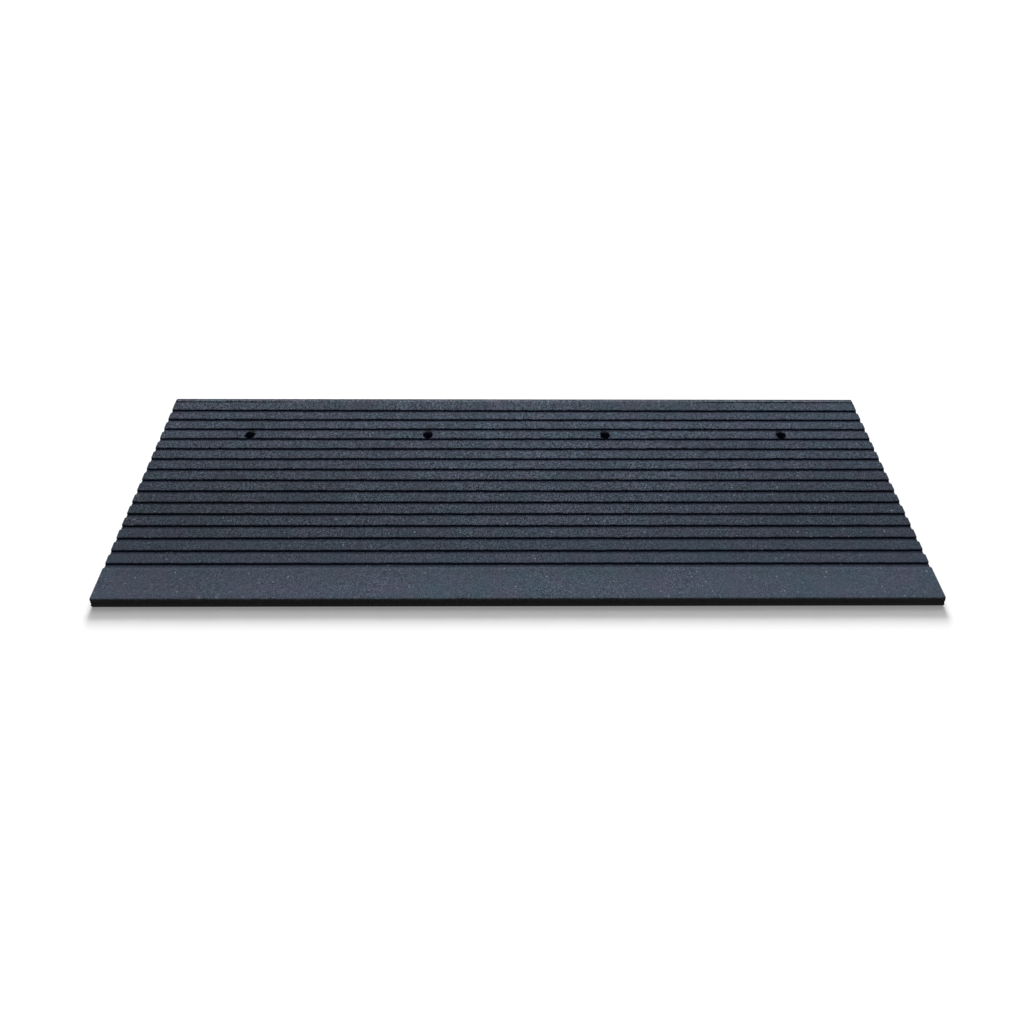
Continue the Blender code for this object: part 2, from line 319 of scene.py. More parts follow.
def grid_mesh(name, grid, capped=True):
    """A closed mesh from a grid of points: rings along the first axis, points round each ring.

    Each cell is a quad between two rings. With capped, the first and the last ring get a face
    each; without, the last ring is joined to the first.
    """
    rings, around = grid.shape[:2]
    index = np.arange(rings * around).reshape(rings, around)
    if not capped:
        index = np.concatenate((index, index[:1]))
    following = np.roll(index, -1, axis=1)
    corners = np.stack((index[:-1], index[1:], following[1:], following[:-1]), axis=-1).ravel()
    starts = np.arange(0, len(corners), 4)
    if capped:
        starts = np.append(starts, (len(corners), len(corners) + around))
        corners = np.concatenate((corners, index[0], index[-1][::-1]))
    mesh = bpy.data.meshes.new(name)
    mesh.vertices.add(rings * around)
    mesh.vertices.foreach_set("co", grid.astype(np.float32).ravel())
    mesh.loops.add(len(corners))
    mesh.loops.foreach_set("vertex_index", corners.astype(np.int32))
    mesh.polygons.add(len(starts))
    mesh.polygons.foreach_set("loop_start", starts.astype(np.int32))
    mesh.update(calc_edges=True)
    shape = bmesh.new()
    shape.from_mesh(mesh)
    bmesh.ops.recalc_face_normals(shape, faces=shape.faces)
    shape.to_mesh(mesh)
    shape.free()
    return mesh


def store_values(mesh, name, values):
    """Store one number for each vertex, for a material to read."""
    attribute = mesh.attributes.new(name, "FLOAT", "POINT")
    attribute.data.foreach_set("value", values.astype(np.float32).ravel())


def stored_values(mesh, name):
    """The number stored for each vertex."""
    values = np.empty(len(mesh.vertices), np.float32)
    mesh.attributes[name].data.foreach_get("value", values)
    return values


def mend_values(mesh, before):
    """Give the vertices that a Boolean made the values of the surface in which they lie.

    A Boolean leaves them at 0, tone included, which is above 0 everywhere else. Each of them takes
    the corners' values of the nearest polygon of the shape as it was, weighted by place and kept
    between the least and the most of those values.
    """
    fresh = np.flatnonzero(stored_values(mesh, "broad_tone") == 0)
    polygons = [tuple(polygon.vertices) for polygon in before.polygons]
    places = [vertex.co for vertex in before.vertices]
    tree = BVHTree.FromPolygons(places, polygons)
    nearest = []
    for number in fresh:
        place, _, index, _ = tree.find_nearest(mesh.vertices[number].co)
        corners = list(polygons[index])
        nearest.append((corners, poly_3d_calc([places[corner] for corner in corners], place)))
    for name in RUBBER_VALUES:
        values, mended = stored_values(before, name), stored_values(mesh, name)
        for number, (corners, weights) in zip(fresh, nearest):
            near = values[corners]
            mended[number] = np.clip(np.dot(near, weights), near.min(), near.max())
        mesh.attributes[name].data.foreach_set("value", mended)


def plain_tone(mesh):
    """Give a shape that joins or cuts the ramp an even tone and a weak grain."""
    store_values(mesh, "broad_tone", np.ones(len(mesh.vertices)))
    store_values(mesh, "grain_contrast", np.full(len(mesh.vertices), PLAIN_GRAIN))
    return mesh


def new_object(name, mesh):
    """An object at the origin for a finished mesh."""
    item = bpy.data.objects.new(name, mesh)
    bpy.context.scene.collection.objects.link(item)
    return item


def combine(item, others, operation):
    """Join other closed shapes to an object's mesh, or cut them out of it, and remove them."""
    group = bpy.data.collections.new("operands")
    bpy.context.scene.collection.children.link(group)
    for other in others:
        group.objects.link(other)
    modifier = item.modifiers.new("combine", "BOOLEAN")
    modifier.operation = operation
    modifier.solver = "MANIFOLD"
    modifier.operand_type = "COLLECTION"
    modifier.collection = group
    evaluated = item.evaluated_get(bpy.context.evaluated_depsgraph_get())
    mesh = bpy.data.meshes.new_from_object(evaluated)
    mend_values(mesh, item.data)
    item.modifiers.clear()
    item.data = mesh
    for other in others:
        bpy.data.objects.remove(other)
    bpy.data.collections.remove(group)


def shade(item, angle):
    """Smooth shading, except at edges that turn by more than an angle in degrees."""
    item.data.shade_smooth()
    item.data.set_sharp_from_angle(angle=math.radians(angle))


def crest(y):
    """Height of the sloping plane that the ribs' tops lie in."""
    return TOE_HEIGHT + SLOPE * (y - FRONT_Y)


def below_crest(y, drop):
    """Points of the outline, given by how far they lie straight below the ribs' plane."""
    return np.stack((y, crest(y) - drop), axis=-1)


def rounded_tip(y, radius, lean, steps):
    """A quarter circle from an upright face at y up to the slope, sheared to lie along the slope."""
    a = np.linspace(0, np.pi / 2, steps + 1)
    return below_crest(y + radius * (1 - np.cos(a)), lean + radius * (1 - np.sin(a)))


def shoulder(riser_y, steps):
    """The rounded back of a rib: half a cosine wave that drops the riser's depth to the valley floor."""
    share = np.linspace(0, 1, steps + 1)
    y = riser_y - VALLEY_LENGTH - SHOULDER_LENGTH * (1 - share)
    return below_crest(y, RISER_DEPTH * (1 - np.cos(np.pi * share)) / 2)


def marked(points, rounding=END_ROUNDING, wear_and_highlight=0.0, bloom_and_shade=1.0, groove_shade=0.0):
    """Outline points as rows of y, z, end rounding, edge wear with painted highlight, bloom with painted
    shade, and painted groove shade.
    """
    columns = [np.broadcast_to(value, len(points)) for value in (rounding, wear_and_highlight, bloom_and_shade, groove_shade)]
    return np.column_stack((points, *columns))


def riser_section(riser_y):
    """One riser: the shoulder and valley before it, its foot, upright face and tip, and its rib's top."""
    floor = below_crest(riser_y - VALLEY_LENGTH * np.array((0.55,)), np.array((RISER_DEPTH,)))
    foot_y = riser_y - FOOT_FILLET * np.array((1.0, 0.3, 0.0))
    foot = below_crest(foot_y, RISER_DEPTH - FOOT_FILLET * np.array((0.0, 0.3, 1.0)))
    top_start = riser_y + RISER_TIP + TOP_EASE
    top_end = riser_y + RISER_PITCH - VALLEY_LENGTH - SHOULDER_LENGTH - TOP_EASE
    top = below_crest(np.array((top_start, top_end)), RIB_LEAN * np.array((0.93, 0.07)))
    tip = rounded_tip(riser_y, RISER_TIP, RIB_LEAN, 4)
    return np.concatenate((
        marked(shoulder(riser_y, 5), bloom_and_shade=SHOULDER_BLOOM_AND_SHADE, groove_shade=SHOULDER_GROOVE_SHADE),
        marked(floor, bloom_and_shade=VALLEY_BLOOM_AND_SHADE, groove_shade=VALLEY_GROOVE_SHADE),
        marked(foot, bloom_and_shade=FOOT_BLOOM_AND_SHADE, groove_shade=FOOT_GROOVE_SHADE),
        marked(tip, wear_and_highlight=TIP_WEAR_AND_HIGHLIGHT, bloom_and_shade=TIP_BLOOM_AND_SHADE, groove_shade=TIP_GROOVE_SHADE),
        marked(top),
    ))


def ramp_outline():
    """The outline from the side, clockwise from the foot of the front face.

    Each row is y, z, the rounding that the point gets at the ends of the ramp, how much the point
    sticks out as an edge that shoes and wheels rub, which also paints a highlight on the rib tips and
    the back land, how much grey bloom it carries, kept low as painted shade on upright faces and at
    the riser feet, and how much painted shade it gets as part of a groove.
    """
    front_y, back_y = FRONT_Y + FLASH, BACK_Y - FLASH
    toe_wear = TOE_WEAR * np.sin(np.linspace(0, np.pi, 7))
    toe_flat_y = np.linspace(front_y + TOE_EDGE, FIRST_RISER_Y - VALLEY_LENGTH - SHOULDER_LENGTH, 9)[1:-1]
    crease_y = LAND_Y + CREASE_WIDTH * np.array((-0.75, -0.5, -0.15, 0.15))
    edge_centre = (back_y - BACK_EDGE, BACK_HEIGHT - BACK_EDGE)
    edge_wear_and_highlight = np.sin(np.linspace(0.2, np.pi - 0.2, 6))
    land = line((LAND_Y + CREASE_WIDTH, BACK_HEIGHT), (edge_centre[0], BACK_HEIGHT), 3)[:-1]
    return np.concatenate((
        marked(line((front_y, 0.0), (front_y, TOE_HEIGHT - TOE_EDGE), 3)[:-1], FRONT_CORNER, bloom_and_shade=0.0),
        marked(rounded_tip(front_y, TOE_EDGE, 0.0, 6), np.linspace(FRONT_CORNER, END_ROUNDING, 7),
               toe_wear, TOE_BLOOM_AND_SHADE),
        marked(below_crest(toe_flat_y, np.zeros_like(toe_flat_y))),
        *[riser_section(riser_y) for riser_y in RISER_YS],
        marked(below_crest(crease_y, np.zeros(4)), bloom_and_shade=CREASE_BLOOM_AND_SHADE, groove_shade=CREASE_GROOVE_SHADE),
        marked(((LAND_Y + 0.5 * CREASE_WIDTH, BACK_HEIGHT),), wear_and_highlight=LAND_EDGE_WEAR_AND_HIGHLIGHT),
        marked(land, wear_and_highlight=LAND_WEAR_AND_HIGHLIGHT),
        marked(arc(edge_centre, BACK_EDGE, np.pi / 2, 0, 5), np.linspace(END_ROUNDING, FRONT_CORNER, 6),
               edge_wear_and_highlight, np.linspace(1, 0, 6)),
        marked(line((back_y, edge_centre[1]), (back_y, 0.0), 6)[1:], FRONT_CORNER, bloom_and_shade=0.0),
        marked(line((back_y, 0.0), (front_y, 0.0), 8)[1:-1], bloom_and_shade=0.0),
    ))


def outward_normals(outline):
    """Unit normals of a clockwise closed outline, from the points before and after each one."""
    along = np.roll(outline, -1, axis=0) - np.roll(outline, 1, axis=0)
    normals = np.stack((-along[:, 1], along[:, 0]), axis=-1)
    return normals / np.linalg.norm(normals, axis=1, keepdims=True)


def end_stations(outline, rounding, normals, side):
    """The rounded end of the ramp on one side (-1 or 1), from the cap inwards.

    A point with rounding r moves to x = half width - r + r sin(a) and goes in along its normal by
    r (1 - cos(a)), as a runs from a quarter turn to 0. Also returns cos(a), which is 1 where the
    rounding ends.
    """
    turns = np.linspace(np.pi / 2, 0, 6)[:, None]
    x = side * (HALF_WIDTH - FLASH - rounding + rounding * np.sin(turns))
    inset = rounding * (1 - np.cos(turns))
    y = outline[:, 0] - normals[:, 0] * inset
    z = outline[:, 1] - normals[:, 1] * inset
    return np.stack((x, y, z), axis=-1), np.cos(turns) + 0 * x


def ramp_grid():
    """The ramp's skin: the side outline carried across the width, with rounded ends.

    Returns the grid, the outline's normals, and each point's edge wear with painted highlight, bloom with
    painted shade, and painted groove shade.
    """
    table = ramp_outline()
    outline, rounding, wear_and_highlight, bloom_and_shade, groove_shade = table[:, :2], *table[:, 2:].T
    normals = outward_normals(outline)
    on_back = (normals[:, 0] > 0.3) & (outline[:, 0] > LAND_Y + CREASE_WIDTH)
    ends = []
    for side, back_corner in zip((-1, 1), BACK_CORNERS):
        corner = np.where(on_back, rounding * back_corner / FRONT_CORNER, rounding)
        ends.append(end_stations(outline, corner, normals, side))
    reach = HALF_WIDTH - FLASH - max(BACK_CORNERS) - END_GAP
    x = np.linspace(-reach, reach, int(2 * reach / STATION_STEP) + 1)
    middle = np.empty((len(x), len(outline), 3))
    middle[..., 0] = x[:, None]
    middle[..., 1:] = outline
    (left, left_turn), (right, right_turn) = ends
    grid = np.concatenate((left, middle, right[::-1]))
    level = np.concatenate((left_turn, np.ones(middle.shape[:2]), right_turn[::-1]))
    wear_and_highlight = np.maximum(wear_and_highlight * level, END_WEAR * bloom_and_shade * np.sin(2 * np.arccos(level)))
    # In the crease, painted shade: the bloom falls and the groove shade rises with the crease's depth
    in_crease, share = crease_share(grid)
    bloom_and_shade = np.where(in_crease, 1 - share * (1 - bloom_and_shade), bloom_and_shade)
    groove_shade = np.where(in_crease, share * groove_shade, groove_shade)
    return grid, normals, wear_and_highlight, bloom_and_shade * level, groove_shade * level


def crease_share(grid):
    """Where the crease before the land lies, and how much of its full depth it has there."""
    in_crease = (np.abs(grid[..., 1] - LAND_Y) < 0.3 * CREASE_WIDTH) & (grid[..., 2] > 0.9 * BACK_HEIGHT)
    from_middle = np.abs(grid[..., 0] - CREASE_MIDDLE)
    share = CREASE_LEFT + (1 - CREASE_LEFT) * smooth_step(from_middle, CREASE_FADE_END, CREASE_FADE_START)
    return in_crease, share


def moulded(grid, normals, wear_and_highlight):
    """Add the unevenness of a crumb-rubber moulding to the ramp's skin, inside the ramp's box.

    The tread rises and falls by waves, the risers wander forwards and back, small chips are
    missing from their tips, and the crease before the land grows deeper away from the middle.
    """
    place = grid[..., :2]
    on_tread = (grid[..., 2] > TOE_HEIGHT - TOE_EDGE) & (grid[..., 1] < LAND_Y + TOP_LAND / 2)
    is_upright = (np.abs(normals[:, 0]) > 0.5) & on_tread
    ripple = waves(place, SHORT_RIPPLE, seed=4) + 0.8 * waves(place, LONG_RIPPLE, seed=5)
    wander = waves(place * (1.0, 0.35), LONG_WANDER, seed=6)
    wander += 0.8 * waves(place * (1.0, 0.5), SHORT_WANDER, seed=7)
    chip = CHIP_DEPTH * np.clip(waves(place * (1.0, 0.6), CHIP_SPACING, seed=8) - CHIP_LEVEL, 0, 1.5)
    chip = chip * np.broadcast_to(wear_and_highlight, chip.shape) * on_tread * (grid[..., 1] > FIRST_RISER_Y - FOOT_FILLET)
    in_crease, share = crease_share(grid)
    uneven = grid.copy()
    uneven[..., 1] += (wander * RISER_WANDER) * is_upright + chip
    uneven[..., 2] += (ripple - RIPPLE_DROP) * TREAD_RIPPLE * on_tread - chip
    uneven[..., 2] -= CREASE_DEPTH * share * in_crease
    uneven[..., 1] = np.clip(uneven[..., 1], FRONT_Y + FLASH, BACK_Y - FLASH)
    uneven[..., 2] = np.clip(uneven[..., 2], 0.0, BACK_HEIGHT)
    return uneven


def patches(grid, table):
    """The sum of soft patches at each point: each one's amount times exp(-(dx^2 + dy^2)).

    dx and dy are the distances from the patch's centre, each over the patch's reach that way.
    """
    total = np.zeros(grid.shape[:2])
    for x, y, reach_x, reach_y, change in table:
        dx, dy = (grid[..., 0] - x) / reach_x, (grid[..., 1] - y) / reach_y
        total += change * np.exp(-(dx ** 2 + dy ** 2))
    return total


def broad_tone(grid):
    """The tread's tone at each point. It starts lower where strong grain brightens the tread."""
    return 1 - GRAIN_BRIGHTENING * (grain_contrast(grid) - EVEN_GRAIN) + patches(grid, TONE_PATCHES)


def grain_contrast(grid):
    """How strongly neighbouring crumbs differ in tone: most at the back and in mid-width."""
    across = GRAIN_LEVEL - GRAIN_END_LOSS * ((grid[..., 0] - GRAIN_MIDDLE) / HALF_WIDTH) ** 2
    return np.interp(grid[..., 1], GRAIN_YS, GRAIN_STRENGTHS) * across


def hole_row():
    """The X of each fixing hole and their common Y, from the washers' boxes."""
    low, high = WASHER_BOXES[0]
    return [(low.x + high.x) / 2 for low, high in WASHER_BOXES], (low.y + high.y) / 2


def turned_grid(profile, around, centre):
    """A profile of (radius, z) turned about an upright axis: centre + radius (cos a, sin a) at z."""
    turn = np.linspace(0, 2 * np.pi, around, endpoint=False)
    radius = np.repeat(profile[:, :1], around, axis=1)
    x = centre[0] + radius * np.cos(turn)
    y = centre[1] + radius * np.sin(turn)
    z = np.repeat(profile[:, 1:], around, axis=1)
    return np.stack((x, y, z), axis=-1)


def hole_cutter(number, washer_box):
    """The space of one fixing hole: head bore, washer pocket and screw bore, turned about its axis.

    At the tread the wall flares out in a bevel. Above the washer's pocket the wall is sheared more
    and more, until the mouth follows the slope. Near the rim it is ragged, as in crumb rubber: its
    radius wanders by a sum of waves.
    """
    low, high = washer_box
    centre = np.array(((low.x + high.x) / 2, (low.y + high.y) / 2))
    pocket = (high.x - low.x) / 2 + WASHER_CLEARANCE
    roof = high.z + WASHER_CLEARANCE
    floor = low.z - WASHER_CLEARANCE
    rim = crest(centre[1])
    flare = bevelled_mouth(rim)
    shaft = line((HEAD_BORE_RADIUS, flare[-1, 1]), (HEAD_BORE_RADIUS, roof), 9)[1:]
    foot = ((pocket, roof), (pocket, floor), (SCREW_BORE_RADIUS, floor), (SCREW_BORE_RADIUS, -CUT_MARGIN))
    profile = np.concatenate(((flare[0] + CUT_MARGIN,), flare, shaft, foot))
    grid = turned_grid(profile, HOLE_POINTS, centre)
    spoke = grid[0, :, :2] - centre
    spoke /= np.linalg.norm(spoke, axis=1, keepdims=True)
    bite = waves(spoke, LONG_RAG, seed=20 + number) + 0.6 * waves(spoke, SHORT_RAG, seed=30 + number)
    near_rim = smooth_step(profile[:, 1], rim - RAGGED_BEVELS * MOUTH_BEVEL, rim)[:, None]
    grid[..., :2] += (near_rim * bite * RIM_RAGGEDNESS)[..., None] * spoke
    above_pocket = np.clip((profile[:, 1] - roof) / (rim - roof), 0, 1)[:, None]
    grid[..., 2] += above_pocket * SLOPE * (grid[..., 1] - centre[1])
    mesh = grid_mesh("hole_cutter", grid)
    bare, whole = rim - BARE_BEVELS * MOUTH_BEVEL, rim - BLOOM_BEVELS * MOUTH_BEVEL
    bloom_and_shade = np.repeat(smooth_step(profile[:, 1], bare, whole), HOLE_POINTS)
    store_values(mesh, "bloom_and_shade", bloom_and_shade)
    # The walls below the bevel get half of the painted groove shade
    store_values(mesh, "groove_shade", (1 - bloom_and_shade) / 2)
    # A paler tone on the walls below the bevel: painted light that lifts the dark inside the hole
    store_values(mesh, "broad_tone", bloom_and_shade + WALL_PAINTED_LIFT * (1 - bloom_and_shade))
    store_values(mesh, "grain_contrast", np.ones_like(bloom_and_shade))
    return new_object(f"hole_cutter_{number}", mesh)


def bevelled_mouth(rim):
    """The mouth of a bore as (radius, z): a bevel down to the wall, with both its edges rounded."""
    edge = 0.2 * MOUTH_BEVEL
    wide = HEAD_BORE_RADIUS + MOUTH_BEVEL
    return np.array((
        (wide + edge, rim + edge),
        (wide - edge, rim - edge),
        (HEAD_BORE_RADIUS + MOUTH_BEVEL / 2, rim - MOUTH_BEVEL / 2),
        (HEAD_BORE_RADIUS + edge, rim - MOUTH_BEVEL + edge),
        (HEAD_BORE_RADIUS + 0.3 * edge, rim - MOUTH_BEVEL - 0.3 * edge),
        (HEAD_BORE_RADIUS, rim - MOUTH_BEVEL - edge),
    ))


def channel_section():
    """A channel's section as (across, z): drafted walls, and a roof with filleted corners."""
    lean = math.tan(CHANNEL_DRAFT)
    mouth = CHANNEL_MOUTH / 2 + CUT_MARGIN * lean
    roof = CHANNEL_MOUTH / 2 - CHANNEL_DEPTH * lean
    inset = CHANNEL_FILLET * math.tan((np.pi / 2 - CHANNEL_DRAFT) / 2)
    corner = arc((roof - inset, CHANNEL_DEPTH - CHANNEL_FILLET), CHANNEL_FILLET, CHANNEL_DRAFT, np.pi / 2, 5)
    right = np.concatenate((((mouth, -CUT_MARGIN),), corner))
    return np.concatenate((right, right[::-1] * (-1, 1)))


def channel_cutters():
    """Bars along Y and along X, laid out so that every fixing hole is in the middle of a pad.

    Each bar is the channel's section moved to its place and carried straight between two ends.
    """
    section = channel_section()
    hole_xs, hole_y = hole_row()
    pitch = (hole_xs[-1] - hole_xs[0]) / (len(hole_xs) - 1) / CHANNELS_PER_HOLE_SPACING
    columns = CHANNELS_PER_HOLE_SPACING * (len(hole_xs) - 1) + 2
    column_ends = np.array(((FIRST_RISER_Y,), (BACK_Y + CUT_MARGIN,)))
    row_ends = np.array(((-HALF_WIDTH - CUT_MARGIN,), (HALF_WIDTH + CUT_MARGIN,)))
    grids = []
    for number in range(columns):
        x = hole_xs[0] - pitch / 2 + number * pitch
        grids.append(np.stack(np.broadcast_arrays(x + section[:, 0], column_ends, section[:, 1]), axis=-1))
    row_y = hole_y + CHANNEL_ROW_PITCH / 2
    while row_y > FIRST_RISER_Y + CHANNEL_MOUTH:
        grids.append(np.stack(np.broadcast_arrays(row_ends, row_y + section[:, 0], section[:, 1]), axis=-1))
        row_y -= CHANNEL_ROW_PITCH
    meshes = [plain_tone(grid_mesh("channel_cutter", grid)) for grid in grids]
    return [new_object(f"channel_cutter_{number}", mesh) for number, mesh in enumerate(meshes)]


def mould_line():
    """The fine raised line where the mould's halves met, carried round the four faces.

    Its section is half an ellipse, on a root that lies inside the ramp. The ellipse stands out by
    the flash times a share that wanders along the way. The path is the plan's rounded rectangle.
    """
    corners = []
    for quarter, (sx, sy) in enumerate(((1, 1), (-1, 1), (-1, -1), (1, -1))):
        radius = FRONT_CORNER if sy < 0 else BACK_CORNERS[(sx + 1) // 2]
        centre = (sx * (HALF_WIDTH - FLASH - radius), sy * (BACK_Y - FLASH - radius))
        corners.append(arc(centre, radius, quarter * np.pi / 2, (quarter + 1) * np.pi / 2, 5))
    path = []
    for turn, following in zip(corners, corners[1:] + corners[:1]):
        steps = int(np.linalg.norm(following[0] - turn[-1]) / MOULD_LINE_STEP)
        path += [turn, line(turn[-1], following[0], steps)[1:-1]]
    path = np.concatenate(path)
    along = np.roll(path, -1, axis=0) - np.roll(path, 1, axis=0)
    out = np.stack((along[:, 1], -along[:, 0]), axis=-1)
    out /= np.linalg.norm(out, axis=1, keepdims=True)
    height = FLASH * np.clip(0.75 + 0.2 * waves(path, MOULD_LINE_WAVE, seed=9), 0.3, 1.0)
    a = np.linspace(-np.pi / 2, np.pi / 2, 7)
    proud = np.column_stack((height[:, None] * np.cos(a), np.full((len(path), 2), -MOULD_LINE_ROOT)))
    rise = MOULD_LINE_WIDTH / 2 * np.append(np.sin(a), (1.0, -1.0))
    xy = path[:, None] + out[:, None] * proud[..., None]
    z = np.broadcast_to(MOULD_LINE_HEIGHT + rise, xy.shape[:2])
    grid = np.concatenate((xy, z[..., None]), axis=-1)
    return new_object("mould_line", plain_tone(grid_mesh("mould_line", grid, capped=False)))


def make_ramp():
    """The rubber moulding, with its mould line, fixing holes and drained underside."""
    grid, normals, wear_and_highlight, bloom_and_shade, groove_shade = ramp_grid()
    strip_end = FIRST_RISER_Y - VALLEY_LENGTH
    smooth_strip = 1 - smooth_step(grid[..., 1], strip_end - SHOULDER_LENGTH, strip_end)
    mesh = grid_mesh("ramp_rubber", moulded(grid, normals, wear_and_highlight))
    purple = patches(grid, TINT_PATCHES)
    stored = (bloom_and_shade, wear_and_highlight, groove_shade, broad_tone(grid), grain_contrast(grid), smooth_strip, purple)
    for name, values in zip(RUBBER_VALUES, stored):
        store_values(mesh, name, values)
    ramp = new_object("ramp_rubber", mesh)
    combine(ramp, [mould_line()], "UNION")
    combine(ramp, [hole_cutter(number, box) for number, box in enumerate(WASHER_BOXES)], "DIFFERENCE")
    combine(ramp, channel_cutters(), "DIFFERENCE")
    shade(ramp, RUBBER_SHARP_EDGE)
    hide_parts("ramp_body")
    return ramp


def make_washer(name, washer_box):
    """A stamped flat washer: a section with four rounded corners, turned about its axis."""
    low, high = washer_box
    centre = ((low.x + high.x) / 2, (low.y + high.y) / 2)
    edge = WASHER_EDGE
    outer = (high.x - low.x) / 2 - edge
    inner = SCREW_BORE_RADIUS - WASHER_LEDGE + edge
    top, bottom = high.z - edge, low.z + edge
    profile = np.concatenate((
        arc((outer, top), edge, np.pi / 2, 0, 4),
        arc((outer, bottom), edge, 0, -np.pi / 2, 4),
        arc((inner, bottom), edge, -np.pi / 2, -np.pi, 4),
        arc((inner, top), edge, -np.pi, -3 * np.pi / 2, 4),
    ))
    grid = turned_grid(profile, WASHER_POINTS, centre)
    washer = new_object(f"{name}_steel", grid_mesh(f"{name}_steel", grid, capped=False))
    shade(washer, WASHER_SHARP_EDGE)
    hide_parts(name)
    return washer


class Nodes:
    """Adds nodes to a node tree and wires them up."""

    def __init__(self, tree):
        self.tree = tree

    def add(self, kind, inputs=None, **settings):
        """A node whose inputs are given by name or number, as values or as other nodes' outputs."""
        node = self.tree.nodes.new("ShaderNode" + kind)
        for key, value in settings.items():
            setattr(node, key, value)
        for key, value in (inputs or {}).items():
            self.feed(node.inputs[key], value)
        return node

    def feed(self, socket, value):
        """Wire an output into a socket, or set the socket's own value."""
        if isinstance(value, bpy.types.NodeSocket):
            self.tree.links.new(value, socket)
        else:
            socket.default_value = value

    def math(self, operation, *values, clamp=False):
        """A number worked out from others."""
        return self.add("Math", dict(enumerate(values)), operation=operation, use_clamp=clamp).outputs[0]

    def vector(self, operation, first, second):
        """A vector worked out from two others, or from one and a factor for SCALE."""
        key = "Scale" if operation == "SCALE" else 1
        return self.add("VectorMath", {0: first, key: second}, operation=operation).outputs[0]

    def blend(self, factor, first, second, blend_type="MIX"):
        """A colour between two others, or one laid over another."""
        inputs = {0: factor, 6: as_colour(first), 7: as_colour(second)}
        return self.add("Mix", inputs, data_type="RGBA", blend_type=blend_type).outputs[2]

    def remap(self, value, start, end, low=0.0, high=1.0, smooth=False):
        """A number moved from one range to another, and kept inside it."""
        kind = "SMOOTHSTEP" if smooth else "LINEAR"
        inputs = {"Value": value, "From Min": start, "From Max": end, "To Min": low, "To Max": high}
        return self.add("MapRange", inputs, interpolation_type=kind, clamp=True).outputs[0]

    def attribute(self, name):
        """A number stored on the mesh."""
        return self.add("Attribute", attribute_name=name).outputs["Fac"]

    def in_units(self, place, size):
        """A place measured in units of a size."""
        return self.vector("SCALE", place, self.math("DIVIDE", 1.0, size))

    def noise(self, place, scale, detail):
        """Smooth noise from 0 to 1."""
        return self.add("TexNoise", {"Vector": place, "Scale": scale, "Detail": detail}).outputs["Fac"]

    def cells(self, place, scale):
        """A net of random cells: the distance from each cell's centre, and a random colour for it."""
        outputs = self.add("TexVoronoi", {"Vector": place, "Scale": scale}).outputs
        return outputs["Distance"], outputs["Color"]

    def draws(self, colour):
        """Three random numbers from a cell's colour."""
        return self.add("SeparateColor", {0: colour}).outputs

    def dome(self, distance):
        """The height of a rounded top: one less the square of the distance from its middle."""
        return self.math("SUBTRACT", 1.0, self.math("MULTIPLY", distance, distance))

    def bump(self, height, relief):
        """A normal for a surface whose height from 0 to 1 stands for a relief in metres."""
        return self.add("Bump", {"Height": height, "Distance": relief, "Strength": 1.0}).outputs[0]

    def group(self, group, **inputs):
        """A node group's outputs, with its inputs given by name."""
        node = self.add("Group", node_tree=group)
        for key, value in inputs.items():
            self.feed(node.inputs[key], value)
        return node.outputs


def as_colour(value):
    """A colour with its alpha, or a socket as it is."""
    return value if isinstance(value, bpy.types.NodeSocket) else (*value, 1.0)


def new_group(name, inputs, outputs):
    """A node group with a place and number inputs, and number outputs.

    Returns the group, its node helper, what it is given and what is taken from it.
    """
    tree = bpy.data.node_groups.new(name, "ShaderNodeTree")
    tree.interface.new_socket(name="Place", in_out="INPUT", socket_type="NodeSocketVector")
    for key, value in inputs.items():
        socket = tree.interface.new_socket(name=key, in_out="INPUT", socket_type="NodeSocketFloat")
        socket.default_value = value
    for key in outputs:
        tree.interface.new_socket(name=key, in_out="OUTPUT", socket_type="NodeSocketFloat")
    given = tree.nodes.new("NodeGroupInput").outputs
    taken = tree.nodes.new("NodeGroupOutput").inputs
    return tree, Nodes(tree), given, taken


def crumb_grain_group():
    """Pressed rubber crumbs: a tone near one for each crumb, and the height of its domed top.

    Large crumbs are mostly dark and some are pale, small ones lying over them vary less, and the
    gaps between the small ones are darker.
    """
    settings = {"Size": 0.0017, "Contrast": 1.0}
    tree, nodes, given, taken = new_group("crumb_grain", settings, ("Tone", "Height"))
    place = nodes.in_units(given["Place"], given["Size"])
    from_large, large_colour = nodes.cells(place, 1.0)
    from_small, small_colour = nodes.cells(place, 2.2)
    fine = nodes.noise(place, 1.3, 3.0)
    large_draw = nodes.math("POWER", nodes.draws(large_colour)[0], 2.0)
    small_draw = nodes.draws(small_colour)[1]
    tone = nodes.math("MULTIPLY_ADD", large_draw, 1.65, nodes.math("MULTIPLY", small_draw, 0.90))
    tone = nodes.math("MULTIPLY_ADD", nodes.math("SUBTRACT", tone, 1.0), given["Contrast"], 1.0)
    gap = nodes.remap(from_small, 0.40, 0.75, 1.04, 0.70)
    tone = nodes.math("MULTIPLY", tone, gap)
    crumb = nodes.dome(from_large)
    bead = nodes.dome(from_small)
    height = nodes.math("MULTIPLY_ADD", crumb, 0.45, nodes.math("MULTIPLY", bead, 0.20))
    height = nodes.math("MULTIPLY_ADD", nodes.remap(fine, 0.25, 0.75), 0.35, height)
    nodes.feed(taken["Tone"], nodes.math("MAXIMUM", tone, 0.1))
    nodes.feed(taken["Height"], height)
    return tree


